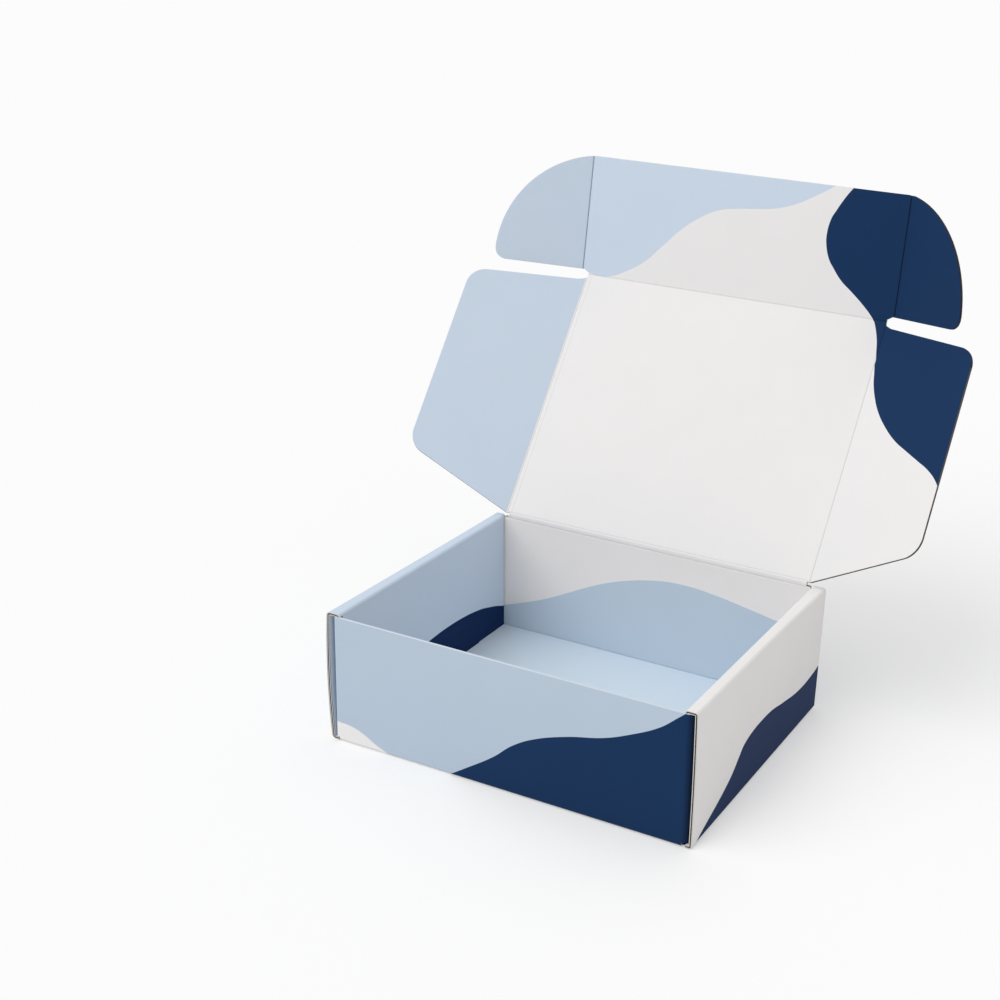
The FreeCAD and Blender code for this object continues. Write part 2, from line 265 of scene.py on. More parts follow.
def wave_mask(nodes, u, v, points, over):
    """1 on one side of a smooth line through the points, in millimetres, and 0 on the other."""
    points = np.array(points, float)
    low, high = points.min(0) - WAVE_MARGIN, points.max(0) + WAVE_MARGIN
    size = high - low
    share = nodes.add("ShaderNodeMapRange", {0: u, 1: low[0], 2: high[0], 3: 0.0, 4: 1.0}).outputs[0]
    curve = nodes.add("ShaderNodeFloatCurve", {1: share})
    line = curve.mapping.curves[0]
    for number, (a, b) in enumerate((points - low) / size):
        if number < 2:
            line.points[number].location = (a, b)
        else:
            line.points.new(a, b)
    curve.mapping.update()
    height = nodes.math("MULTIPLY_ADD", curve.outputs[0], size[1], low[1])
    gap = nodes.math("SUBTRACT", v, height) if over else nodes.math("SUBTRACT", height, v)
    return nodes.math("MULTIPLY_ADD", gap, 1 / INK_EDGE, 0.5, clamp=True)


def printed(name, base, plane, *fields, ridge=X, scores=()):
    """A printed liner. Each field is (colour, "over" or "under" or "beyond", points in the plane's frame), and
    each score a dark line painted as the shade of a pressed line or of a fold: ("u" or "v", its place, its
    darkness, half its breadth)."""
    material, nodes = new_material(name)
    place = nodes.rest_place()
    colour = base
    if fields or scores:
        u = nodes.math("ADD", nodes.dot(place, plane.u / MM), -float(plane.u @ plane.origin))
        v = nodes.math("ADD", nodes.dot(place, plane.v / MM), -float(plane.v @ plane.origin))
        for ink, side, points in fields:
            if side == "beyond":
                mask = wave_mask(nodes, v, u, points, True)
            else:
                mask = wave_mask(nodes, u, v, points, side == "over")
            colour = nodes.mix(mask, colour, ink)
        # Each score mixes in a near black: painted shade of a pressed line or of a fold's turn.
        for axis, where, darkness, reach in scores:
            away = nodes.math("ABSOLUTE", nodes.math("SUBTRACT", u if axis == "u" else v, where))
            line = nodes.math("MULTIPLY_ADD", away, -1 / reach, 1.0, clamp=True)
            colour = nodes.mix(nodes.math("MULTIPLY", line, darkness), colour, SCORE_SHADE)
    paper_finish(nodes, place, colour, ridge, PRINT_ROUGH, PRINT_BUMP)
    return material


def paper_finish(nodes, place, colour, ridge, rough, bump_strength):
    """Fibres, faint mottling and the flutes' faint ridges, over a colour."""
    fibres = nodes.noise(place, FIBRE_SCALE, 3.0, 0.6)
    cloud = nodes.noise(place, CLOUD_SCALE, 2.0, 0.5)
    tone = nodes.math("MULTIPLY_ADD", fibres, FIBRE_TONE, 1 - (FIBRE_TONE + CLOUD_TONE) / 2)
    tone = nodes.math("MULTIPLY_ADD", cloud, CLOUD_TONE, tone)
    toned = nodes.add("ShaderNodeHueSaturation", {"Value": tone})
    nodes.join(colour, toned.inputs["Color"])
    wave = nodes.math("SINE", nodes.dot(place, ridge * (FLUTE_TURN / MM)))
    height = nodes.math("MULTIPLY_ADD", wave, FLUTE_RELIEF, fibres)
    height = nodes.math("MULTIPLY_ADD", cloud, CLOUD_RELIEF, height)
    bump = nodes.add("ShaderNodeBump", {"Height": height, "Strength": bump_strength, "Distance": RELIEF_DEPTH})
    grain = nodes.math("MULTIPLY_ADD", fibres, GRAIN, rough - GRAIN / 2)
    shader = nodes.add("ShaderNodeBsdfPrincipled", {
        "Base Color": toned.outputs[0], "Roughness": grain, "Normal": bump.outputs[0],
        "Specular IOR Level": PAPER_SPECULAR,
    })
    nodes.add("ShaderNodeOutputMaterial", {"Surface": shader.outputs[0]})


def raw_paper(name, colour, streak):
    """Cut or unprinted paper, with short fibres. streak is the share of the colour that the darkest keep."""
    material, nodes = new_material(name)
    place = nodes.rest_place()
    specks = nodes.noise(place, SPECK_SCALE, 4.0, 0.7)
    dark = tuple(c * streak for c in colour[:3]) + (1.0,)
    ramp = nodes.math("MULTIPLY_ADD", specks, SPECK_CONTRAST, SPECK_OFFSET, clamp=True)
    paper_finish(nodes, place, nodes.mix(ramp, dark, colour), X, PAPER_ROUGH, PAPER_BUMP)
    return material


front_face = Plane((0, -BACK, 0), X, Z)
side_face = Plane((0, 0, 0), Y, Z)
floor_face = Plane((0, 0, 0), X, Y)

PAINTS = {
    "white": printed("print_white", WHITE, None),
    "blue_score": printed("print_blue_score_shade", BLUE_SCORE_SHADE, None),
    "navy_score": printed("print_navy_score_shade", NAVY_SCORE_SHADE, None),
    "light_blue": printed("print_light_blue", LIGHT_BLUE, None),
    "navy": printed("print_navy", NAVY, None),
    "base_blue": printed("print_base_inside", BASE_BLUE_LIT, None),
    "white_side": printed("print_white_side", WHITE, None, ridge=Z),
    "light_blue_side": printed("print_light_blue_side", LIGHT_BLUE, None, ridge=Z),
    "cut": raw_paper("cut_liner", CUT_WHITE, 0.85),
    "crushed": raw_paper("crushed_edge", CRUSHED, 0.92),
    "flap_cut": raw_paper("flap_cut_liner", FLAP_CUT, 0.85),
    "inked_cut": raw_paper("inked_cut_liner", INKED_CUT, 0.8),
    "flute": raw_paper("flute_paper", KRAFT, 0.7),
    "core": raw_paper("core_shadow", KRAFT_SHADE, 0.6),
    "front_out": printed(
        "print_front_outside", OUTSIDE_BLUE, front_face,
        (FRONT_WHITE_LIT, "under", [(-130, 14), (-120.6, 13.3), (-110.5, 12.4), (-102.3, 9.7), (-93, 4.7),
                                (-82.5, 0.1), (-72, -8)]),
        (NAVY, "under", [(-52, -8), (-39.5, -0.6), (-26.3, 8.1), (-7.1, 21.5), (6.8, 33.5), (21.1, 41.8),
                         (43.2, 49.9), (67.3, 56.2), (84.4, 63.4), (101.7, 72.7), (112.5, 81.6), (119.4, 87.9),
                         (126, 96)]),
        # Painted shade: this score darkens the front towards its right corner, where it turns away round the fold.
        scores=[("u", 123.2, 0.85, 4.8)],
    ),
    "right_out": printed(
        "print_right_outside", WHITE, side_face,
        (SIDE_NAVY_SHADED, "under", [(-98, -6), (-90, 0.8), (-81.2, 4.9), (-68.6, 9.5), (-55.8, 14.4), (-43.1, 20.5),
                              (-32.7, 28.1), (-25, 33.3), (-14.1, 35.8), (-2, 36.6), (15.3, 36), (35.1, 32.5),
                              (65, 28.6), (85.3, 29.9), (97.8, 32.6)]),
        ridge=Z,
    ),
    "left_out": printed(
        "print_left_outside", LIGHT_BLUE, side_face,
        (WHITE, "under", [(-98, 16), (-72, 15), (-44, 9.5), (-16, 0), (0, -7)]),
        ridge=Z,
    ),
    # Inside the back wall the white is painted light and the blue painted shade, set against the light inside the
    # tray.
    "back_in": printed(
        "print_back_inside", BACK_WHITE_LIT, front_face,
        (BACK_BLUE_SHADED, "under", [(-125, 15), (-117, 17.4), (-101.5, 22.9), (-87.3, 28.4), (-69.3, 37), (-51.6, 46.2),
                              (-34.7, 54), (-17.9, 59.9), (-1, 64.1), (15.7, 66.5), (32.3, 66.6), (51.1, 64.6),
                              (67.5, 61.9), (81.5, 59.4), (94.7, 57.1), (125, 55)]),
        # Painted shade: a faint dark line along the crest's pressed score.
        scores=[("v", CREST_SCORE, 0.1, 0.5)],
    ),
    "back_out": printed(
        "print_back_outside", WHITE, front_face,
        (NAVY, "beyond", [(-6, 126), (0, 118), (8, 92), (18, 44), (30, -4), (44, -46), (60, -67), (74, -66),
                          (88, -52), (98, -40)]),
        (LIGHT_BLUE, "under", [(-128, 42), (-112, 38), (-96, 27), (-82, 12), (-71, 0), (-62, -9)]),
    ),
    "front_in": printed(
        "print_front_inside", WHITE, front_face,
        (LIGHT_BLUE, "under", [(-126, 8), (-80, 14), (-30, 25), (20, 29), (70, 24), (126, 12)]),
    ),
    "left_in": printed(
        "print_left_inside", LIGHT_BLUE, side_face,
        (SIDE_NAVY_SHADED, "under", [(-98, 20), (-40, 26), (-0.3, 29.4), (19.5, 30.3), (36.2, 29.9), (57.2, 27.6),
                              (74.7, 23.5), (92.9, 17.2), (98, 15)]),
        ridge=Z,
    ),
    "right_in": printed(
        "print_right_inside", WHITE, side_face,
        (LIGHT_BLUE, "under", [(-98, 12), (-50, 16), (0, 27), (50, 42), (98, 55)]),
        ridge=Z,
    ),
    "under": printed(
        "print_underside", WHITE, floor_face,
        (NAVY, "under", [(-52, -112), (-39, -96), (0, -62), (44, -30), (80, 6), (110, 58), (126, 104)]),
        (LIGHT_BLUE, "over", [(-128, -20), (-112, 6), (-98, 40), (-84, 74), (-66, 104)]),
    ),
    "lid_in": printed(
        "print_lid_inside", WHITE, lid_plane,
        (NAVY, "beyond", [(146, 120), (156, 116.6), (162.7, 114.6), (172.3, 112.3), (180.7, 109.2), (186.9, 106),
                          (192, 102)]),
        # Painted shade: faint dark lines along the pressed lines beside the wings' folds and along the hinge.
        scores=[("u", -111.8, 0.12, 0.5), ("u", 115.3, 0.24, 0.75), ("v", 1.1, 0.07, 0.5)],
    ),
    "lid_out": printed(
        "print_lid_outside", WHITE, lid_plane,
        (LIGHT_BLUE, "over", [(-126, 60), (-114.8, 74), (-93, 102), (-72, 128), (-48, 146), (-12, 158), (12, 167),
                              (32, 180), (48, 196)]),
        (NAVY, "under", [(-66, -12), (-52, 0), (-36, 16), (-14, 32), (14, 46), (44, 60), (70, 75), (96, 95),
                         (114.8, 114), (126, 126)]),
    ),
    "left_wing_out": printed(
        "print_left_wing_outside", WHITE, wing_planes["left"],
        (LIGHT_BLUE, "over", [(-4, 79), (0, 74), (20, 52), (44, 36), (86, 24)]),
    ),
    "right_wing_in": printed(
        "print_right_wing_inside", WHITE, wing_planes["right"],
        (NAVY, "over", [(-4, 175), (-1, 163.5), (3.1, 149.8), (5.4, 141.8), (10.6, 130.5), (16.9, 120.7),
                        (26.6, 110.1), (37.9, 100.7), (49.9, 93.6), (61.3, 87.2), (70.9, 81.7), (78.1, 76),
                        (82.8, 70.6), (86, 66)]),
    ),
    "right_wing_out": printed(
        "print_right_wing_outside", WHITE, wing_planes["right"],
        (NAVY, "under", [(-4, 110), (0, 114), (22, 132), (48, 143), (86, 150)]),
    ),
    "tuck_in": printed(
        "print_tuck_inside", WHITE, tuck_plane,
        (LIGHT_BLUE, "over", [(-124, 2.2), (-114, 1), (-104, 0.2), (-98, 0.9), (-84.4, 6.6), (-70.8, 15.2),
                              (-57.5, 28.5), (-44.5, 41.5), (-31.6, 51.2), (-16.3, 58.6), (-5.1, 60.8),
                              (8.1, 62.3), (21, 63.9), (31.8, 66.5), (41.6, 70.4), (51.2, 75.6), (66.9, 85.1),
                              (76, 91)]),
        (NAVY, "beyond", [(-3, 107.5), (2, 103.5), (9.1, 96), (16, 87.4), (22.9, 78.5), (29.9, 72.4), (36.4, 67.8),
                          (44.6, 65), (50.6, 64.2), (61.6, 65.6), (69.3, 69.2), (78.3, 74.3), (85.1, 79.1),
                          (90, 83)]),
        # Painted shade: a faint dark line along the tuck flap's crease.
        scores=[("v", 0.0, 0.16, 0.5)],
    ),
    "tuck_out": printed(
        "print_tuck_outside", WHITE, tuck_plane,
        (LIGHT_BLUE, "under", [(-126, 41), (-114, 43), (-86, 44), (-50, 39), (-16, 28), (12, 15), (40, 0),
                               (56, -9)]),
    ),
    "left_ear_out": printed(
        "print_left_ear_outside", WHITE, ear_planes["left"],
        (LIGHT_BLUE, "under", [(-4, 42.5), (0, 42), (14, 38), (34, 26), (52, 11), (72, -8)]),
    ),
}


# Geometry


class Piece:
    """Faces with a paint each, made into one object. Patches share no points, so their borders stay crisp."""

    def __init__(self, name):
        self.name = name
        self.points, self.faces, self.paints = [], [], []

    def polygon(self, points, paint, facing):
        points = [np.asarray(p, float) for p in points]
        normal = sum(np.cross(a, b) for a, b in zip(points, points[1:] + points[:1]))
        if normal @ facing < 0:
            points.reverse()
        start = len(self.points)
        self.points += points
        self.faces.append(list(range(start, start + len(points))))
        self.paints.append(paint)

    def grid(self, rows, paint, facing):
        """Quads between rows of points. paint is one name, or a name for each step from row to row."""
        rows = np.asarray(rows, float)
        count, width = rows.shape[:2]
        names = [paint] * (count - 1) if isinstance(paint, str) else paint
        first = np.cross(rows[1, 0] - rows[0, 0], rows[0, 1] - rows[0, 0])
        flip = first @ facing < 0
        start = len(self.points)
        self.points += list(rows.reshape(-1, 3))
        for i in range(count - 1):
            for j in range(width - 1):
                corner = start + i * width + j
                quad = [corner, corner + width, corner + width + 1, corner + 1]
                self.faces.append(quad[::-1] if flip else quad)
                self.paints.append(names[i])

    def raw_edge(self, centre, across, outward, phase, half=HALF, liner=LINER, paints=("cut", "flute")):
        """The cut through the board along a line: both liners' edges, and the medium's wave set back between them.

        across points from the inner liner to the outer one, outward out of the cut, and phase counts
        millimetres across the flutes.
        """
        centre, across, outward, phase = dense(centre, across, outward, phase)
        wall = half - liner
        back = centre - outward * RECESS
        for low, high in ((wall, half), (-half, -wall)):
            self.grid([centre + across * low, centre + across * high], paints[0], outward[0])
        # The liners' inner faces behind the cut, and a sheet across the back of the recess, take the dark core
        # paint: painted shade in the hollow.
        for height in (wall, -wall):
            rows = [centre + across * height, back + across * height]
            self.grid(rows, "core", across[0] * -height)
        self.grid([back - across * wall, back + across * wall], "core", outward[0])
        swing = (wall - MEDIUM / 2) * MEDIUM_FILL
        middle = np.sin(phase * FLUTE_TURN)[:, None] * swing
        front = centre - outward * MEDIUM_SETBACK
        low, high = across * (middle - MEDIUM / 2), across * (middle + MEDIUM / 2)
        self.grid([front + low, front + high], paints[1], outward[0])
        self.grid([front + low, back + low], paints[1], -across[0])
        self.grid([front + high, back + high], paints[1], across[0])

    def make(self, slot):
        points = np.array(self.points) * MM
        mesh = bpy.data.meshes.new(self.name)
        mesh.from_pydata(points.tolist(), [], self.faces)
        used = sorted(set(self.paints))
        for name in used:
            mesh.materials.append(PAINTS[name])
        mesh.polygons.foreach_set("material_index", [used.index(name) for name in self.paints])
        mesh.polygons.foreach_set("use_smooth", [True] * len(mesh.polygons))
        rest = mesh.attributes.new("rest", "FLOAT_VECTOR", "POINT")
        rest.data.foreach_set("vector", points.astype(np.float32).ravel())
        mesh.validate()
        mesh.update()
        piece = bpy.data.objects.new(self.name, mesh)
        bpy.context.scene.collection.objects.link(piece)
        return piece


def dense(centre, across, outward, phase):
    """Adds points along a cut wherever the wave of the medium needs them."""
    centre, phase = np.asarray(centre, float), np.asarray(phase, float)
    across = np.broadcast_to(across, centre.shape)
    outward = np.broadcast_to(outward, centre.shape)
    out = [[], [], [], []]
    for i in range(len(centre) - 1):
        steps = max(1, math.ceil(abs(phase[i + 1] - phase[i]) / (FLUTE_PITCH / FLUTE_POINTS)))
        for k in range(steps + (i == len(centre) - 2)):
            share = k / steps
            out[0].append(centre[i] * (1 - share) + centre[i + 1] * share)
            out[1].append(unit(across[i] * (1 - share) + across[i + 1] * share))
            out[2].append(unit(outward[i] * (1 - share) + outward[i + 1] * share))
            out[3].append(phase[i] * (1 - share) + phase[i + 1] * share)
    return tuple(np.array(values) for values in out)


def fold_line(corners, radii, step):
    """A sheet's middle line with rounded folds: its points, their outer normals, their places along the line,
    the panel that each step is part of, and each point's distance from the nearest fold."""
    corners = [np.array(c, float) for c in corners]
    radii = [radii] * len(corners) if isinstance(radii, float) else radii
    points, normals, runs, reach = [], [], [], []
    start = corners[0]
    for number in range(1, len(corners)):
        way = unit(corners[number] - corners[number - 1])
        right = np.array([way[1], -way[0]])
        last = number == len(corners) - 1
        stop = corners[number]
        if not last:
            radius = radii[number - 1] - HALF
            after = unit(corners[number + 1] - corners[number])
            turn = math.atan2(way[0] * after[1] - way[1] * after[0], way @ after)
            stop = stop - way * radius * math.tan(abs(turn) / 2)
        length = np.linalg.norm(stop - start)
        before = 0.0 if number > 1 else math.inf
        behind = 0.0 if not last else math.inf
        marks = set(np.linspace(0.0, length, max(1, round(length / step)) + 1))
        marks |= {mark for mark in FOLD_STEPS if before == 0.0 and mark < length / 2}
        marks |= {length - mark for mark in FOLD_STEPS if behind == 0.0 and mark < length / 2}
        for mark in sorted(marks):
            if points and mark == 0.0:
                continue
            points.append(start + way * mark)
            normals.append(right)
            runs.append(number - 1)
            reach.append(min(before + mark, behind + length - mark))
        if not last:
            bend = 1 if turn > 0 else -1
            heart = stop - right * radius * bend
            for k in range(1, ARC_STEPS + 1):
                angle = turn * k / ARC_STEPS
                spun = np.array([
                    right[0] * math.cos(angle) - right[1] * math.sin(angle),
                    right[0] * math.sin(angle) + right[1] * math.cos(angle),
                ])
                points.append(heart + spun * radius * bend)
                normals.append(spun)
                runs.append(number - 1 if k <= ARC_STEPS // 2 else number)
                reach.append(0.0)
            start = points[-1]
    points, normals = np.array(points), np.array(normals)
    lengths = np.concatenate([[0.0], np.cumsum(np.linalg.norm(np.diff(points, axis=0), axis=1))])
    return points, normals, lengths, runs[1:], np.array(reach)


class Strip:
    """A folded strip of board: a profile in section, carried along a third axis between low and high.

    place turns a point of the section and a height along the axis into a point in space. low and high are numbers,
    or functions of a point of the section. outside and inside name the paint of each panel. divide is the number
    of columns along the axis, step the distance between points of the section, and pressed the depth of the folds'
    grooves inside.
    """

    def __init__(self, piece, corners, place, low, high, outside, inside, lip_high=False, divide=1, step=10.0,
                 radius=FOLD_RADIUS, pressed=0.0):
        self.piece, self.place = piece, place
        self.points, self.normals, self.lengths, self.runs, reach = fold_line(corners, radius, step)
        grooves = pressed * np.exp(-((reach / PRESS_BREADTH) ** 2))
        self.low = np.array([low(p) for p in self.points]) if callable(low) else np.full(len(self.points), low)
        self.high = np.array([high(p) for p in self.points]) if callable(high) else np.full(len(self.points), high)
        shares = [k / divide for k in range(divide + 1)]
        for offset, names in ((HALF, outside), (-HALF, inside)):
            depth = grooves if offset < 0 else grooves * 0
            columns = [[self.spot(i, self.low[i] + (self.high[i] - self.low[i]) * share, offset + depth[i])
                        for share in shares] for i in range(len(self.points))]
            if lip_high:
                drop = offset - math.copysign(LIP_DROP, offset)
                for i, column in enumerate(columns):
                    column[-1] = self.spot(i, self.high[i] - LIP_WIDTH, offset)
                    column.append(self.spot(i, self.high[i], drop))
            facing = self.direction(0) * math.copysign(1, offset)
            piece.grid(columns, [names[run] for run in self.runs], facing)

    def spot(self, i, height, offset):
        return self.place(self.points[i] + self.normals[i] * offset, height)

    def direction(self, i):
        return unit(self.place(self.points[i] + self.normals[i], 0.0) - self.place(self.points[i], 0.0))

    def side_cut(self, which, first=0, last=None):
        """A raw edge along the profile, at low or at high."""
        last = len(self.points) if last is None else last
        heights = self.low if which == "low" else self.high
        sign = -1 if which == "low" else 1
        index = range(first, last)
        centre = [self.spot(i, heights[i], 0.0) for i in index]
        across = [self.direction(i) for i in index]
        outward = sign * unit(self.place(self.points[0], 1.0) - self.place(self.points[0], 0.0))
        self.piece.raw_edge(centre, across, outward, self.lengths[first:last])

    def side_cuts(self):
        """Raw edges along the whole profile, at low and at high."""
        self.side_cut("low")
        self.side_cut("high")

    def crushed_cut(self):
        """The high edge where the die has pressed both liners together over the flutes."""
        reach = HALF - LIP_DROP
        rows = []
        for share in np.linspace(-1, 1, CRUSH_ROWS):
            ripple = CRUSH_RIPPLE * np.sin(self.lengths * FLUTE_TURN)
            rise = (CRUSH_RISE - CRUSH_DIP * math.exp(-((share / CRUSH_BREADTH) ** 2))) * (1 - share**4)
            rows.append([self.spot(i, self.high[i] + rise * (1 + ripple[i]), share * reach)
                         for i in range(len(self.points))])
        self.piece.grid(rows, "crushed", unit(self.place(self.points[0], 1.0) - self.place(self.points[0], 0.0)))

    def end_cut(self, which):
        """A raw edge across the profile, at its start or at its end. The flutes run along it."""
        i, other = (0, 1) if which == "start" else (-1, -2)
        way = unit(self.place(self.points[i], 0.0) - self.place(self.points[other], 0.0))
        centre = [self.spot(i, height, 0.0) for height in (self.low[i], self.high[i])]
        self.piece.raw_edge(centre, self.direction(i), way, np.zeros(2))


def along_x(p, h):
    return np.array([h, p[0], p[1]])


def leaning(p, h):
    """Upright. The front left corner leans in a little towards its top, away from the outer panel."""
    share = clamp((-LEAN_FROM - p[0]) / LEAN_ACROSS) * clamp(-p[1] / LEAN_ALONG)
    return np.array([p[0] + CORNER_LEAN * share * h / HEIGHT, p[1], h])


def bow(side, point, y):
    """How far an outer panel stands off: nothing holds its front edge, and the right one's back edge flares."""
    height = clamp(point[1] / HEIGHT)
    inside = NOTCH_OUT if point[1] < BASE_ZONE else INNER_FACE + ROLL_CLEAR
    share = clamp((point[0] - inside) / (OUTER_FACE - inside))
    ahead = clamp((STANDOFF_FROM - y) / (STANDOFF_FROM + PANEL_END)) ** STANDOFF_POWER
    behind = clamp((y - FLARE_FROM) / (PANEL_END - FLARE_FROM)) ** FLARE_POWER
    belly = math.sin(math.pi * height) ** BELLY_POWER
    if side < 0:
        return share * ahead * (FRONT_STANDOFF + FRONT_BELLY * belly)
    return share * (RIGHT_BELLY * ahead * belly + BACK_FLARE * behind * height)


def tray():
    piece = Piece("tray_board")
    middle = BACK - HALF
    base_folds(piece, middle)
    base_panel(piece)
    front = end_wall(piece, middle, -1, "front", ("light_blue", "front_out", "front_out"),
                     (FOLD_RADIUS, SOFT_RADIUS))
    front.crushed_cut()
    back = end_wall(piece, middle, 1, "back", ("navy", "back_out", "light_blue"), BACK_RADIUS)
    crest(piece, back, middle)
    for hand, side in SIDES.items():
        side_wall(piece, hand, side)
    return piece


def base_folds(piece, middle):
    """The folds of the base to the front wall and to the back wall."""
    front = [(-middle, FOOT), (-middle, HALF), (-NOTCH_END, HALF)]
    back = [(NOTCH_END, HALF), (middle, HALF), (middle, FOOT)]
    for corners, end, outside, inside in (
        (front, FOLD_END, ("front_out", "under"), ("front_in", "base_blue")),
        (back, NOTCH_SIDE, ("under", "back_out"), ("base_blue", "back_in")),
    ):
        fold = Strip(piece, corners, along_x, -NOTCH_SIDE, end, outside, inside, pressed=BASE_PRESS)
        fold.side_cuts()


def base_panel(piece):
    """The flat base, with slots for the locking tabs."""
    slot_near, slot_far = TAB_NEAR - SLOT_SPARE, TAB_FAR + SLOT_SPARE
    slot_in, slot_out = INNER_FACE - SLOT_SPARE, INNER_FACE + BOARD + SLOT_SPARE
    whole = [(-NOTCH_END, NOTCH_END)]
    broken = [(-NOTCH_END, -slot_far), (-slot_near, slot_near), (slot_far, NOTCH_END)]
    columns = [(-NOTCH_OUT, -slot_out, whole), (-slot_out, -slot_in, broken), (-slot_in, slot_in, whole),
               (slot_in, slot_out, broken), (slot_out, NOTCH_OUT, whole)]
    for left, right, spans in columns:
        for near, far in spans:
            for height, paint, facing in ((0.0, "under", -Z), (BOARD, "base_blue", Z)):
                piece.polygon([(left, near, height), (right, near, height), (right, far, height),
                               (left, far, height)], paint, facing)
    # The slots' walls take the dark core paint: painted shade in the slots.
    for side in (-1, 1):
        for way in (-1, 1):
            box = [(side * slot_in, way * slot_near), (side * slot_out, way * slot_near),
                   (side * slot_out, way * slot_far), (side * slot_in, way * slot_far)]
            heart = np.array([side * (slot_in + slot_out) / 2, way * (slot_near + slot_far) / 2, 0.0])
            for a, b in zip(box, box[1:] + box[:1]):
                wall = [(*a, 0.0), (*b, 0.0), (*b, BOARD), (*a, BOARD)]
                piece.polygon(wall, "core", heart - np.array([(a[0] + b[0]) / 2, (a[1] + b[1]) / 2, 0.0]))


def end_wall(piece, middle, sign, name, outside, radius):
    """The front or the back wall with its two dust flaps, which taper towards their ends."""
    dust = DUST_FACE - HALF
    corners = [(sign * dust, sign * DUST_END), (sign * dust, sign * middle),
               (-sign * dust, sign * middle), (-sign * dust, sign * DUST_END)]

    def taper(p):
        return DUST_TAPER * clamp((NOTCH_END - abs(p[1])) / (NOTCH_END - DUST_END))

    wall = Strip(piece, corners, leaning, lambda p: FOOT + taper(p), lambda p: WALL_TOP - taper(p),
                 outside, ("white", f"{name}_in", "white"), lip_high=sign < 0, radius=radius)
    wall.end_cut("start")
    wall.end_cut("end")
    on_wall = [i for i, p in enumerate(wall.points) if abs(p[0]) < NOTCH_SIDE - 1]
    wall.side_cut("low", 0, on_wall[0] + 1)
    wall.side_cut("low", on_wall[-1])
    return wall


def side_wall(piece, hand, side):
    """The base's edge, the outer panel, the rolled top and the inner panel with its locking tabs."""
    def along_y(p, h):
        return np.array([side * (p[0] + bow(side, p, h)), h, p[1]])

    outer, inner = OUTER_FACE - HALF, INNER_FACE + HALF
    top = HEIGHT - HALF
    root = (inner, top - INNER_ROOT)
    roll_paint = "light_blue_side" if side < 0 else "white_side"
    rolled = Strip(piece, [(NOTCH_OUT, HALF), (outer, HALF), (outer, top), (inner, top), root],
                   along_y, -PANEL_END, PANEL_END, ("under", f"{hand}_out", roll_paint, roll_paint),
                   ("base_blue", roll_paint, "white_side", "white_side"), divide=OUTER_COLUMNS,
                   step=OUTER_STEP)
    paints = (f"{hand}_in",), ("white_side",)
    panel = Strip(piece, [root, (inner, PANEL_FOOT)], along_y, INNER_FRONT, INNER_BACK, *paints,
                  divide=INNER_COLUMNS)
    rolled.side_cuts()
    panel.side_cuts()
    panel.end_cut("end")
    for near, far in ((-TAB_FAR, -TAB_NEAR), (TAB_NEAR, TAB_FAR)):
        tab = Strip(piece, [(inner, PANEL_FOOT), (inner, TAB_END)], along_y, near, far, *paints)
        tab.side_cuts()
        tab.end_cut("end")


def crest(piece, wall, middle):
    """The back wall's top edge beside the hinge, and the part of it that reaches up to the hinge's crease."""
    top = HINGE[2] - HINGE_CREASE / 2
    heights = [WALL_TOP, *(CREST_SCORE + step for step in (-0.4, -0.2, 0.0, 0.2, 0.4)), top]
    for y, press, paint, facing in (
        (middle + HALF, 0.0, "back_out", Y),
        (middle - HALF, CREST_PRESS, "back_in", -Y),
    ):
        places = [(y + press * math.exp(-(((z - CREST_SCORE) / CREST_PRESS) ** 2)), z) for z in heights]
        piece.grid([[(side * CREST_HALF, *place) for side in (-1, 1)] for place in places], paint, facing)
    beside = [i for i, p in enumerate(wall.points) if p[1] > middle - 1e-6 and abs(p[0]) < NOTCH_SIDE]
    wall.side_cut("high", 0, beside[0] + 1)
    wall.side_cut("high", beside[-1])
    reach = abs(wall.points[beside[0]][0])
    for side in (-1, 1):
        foot = (side * CREST_HALF, middle, WALL_TOP)
        piece.raw_edge([foot, (side * CREST_HALF, middle, top)], Y, side * X, [0.0, 0.0])
        piece.raw_edge([foot, (side * reach, middle, WALL_TOP)], Y, Z, [CREST_HALF, reach])


def arc(centre, radius, start, stop, count):
    angles = np.linspace(start, stop, count)
    return [(centre[0] + radius * math.cos(a), centre[1] + radius * math.sin(a)) for a in angles]


def rounded(before, corner, after, radius):
    """The points of an arc that rounds one corner of an outline."""
    before, corner, after = (np.array(p, float) for p in (before, corner, after))
    a, b = unit(before - corner), unit(after - corner)
    half = math.acos(float(np.clip(a @ b, -1, 1))) / 2
    heart = corner + unit(a + b) * radius / math.sin(half)
    start = corner + a * radius / math.tan(half)
    stop = corner + b * radius / math.tan(half)
    first = math.atan2(*(start - heart)[::-1])
    turn = math.atan2(*(stop - heart)[::-1]) - first
    turn = (turn + math.pi) % (2 * math.pi) - math.pi
    return arc(heart, radius, first, first + turn, CORNER_STEPS)


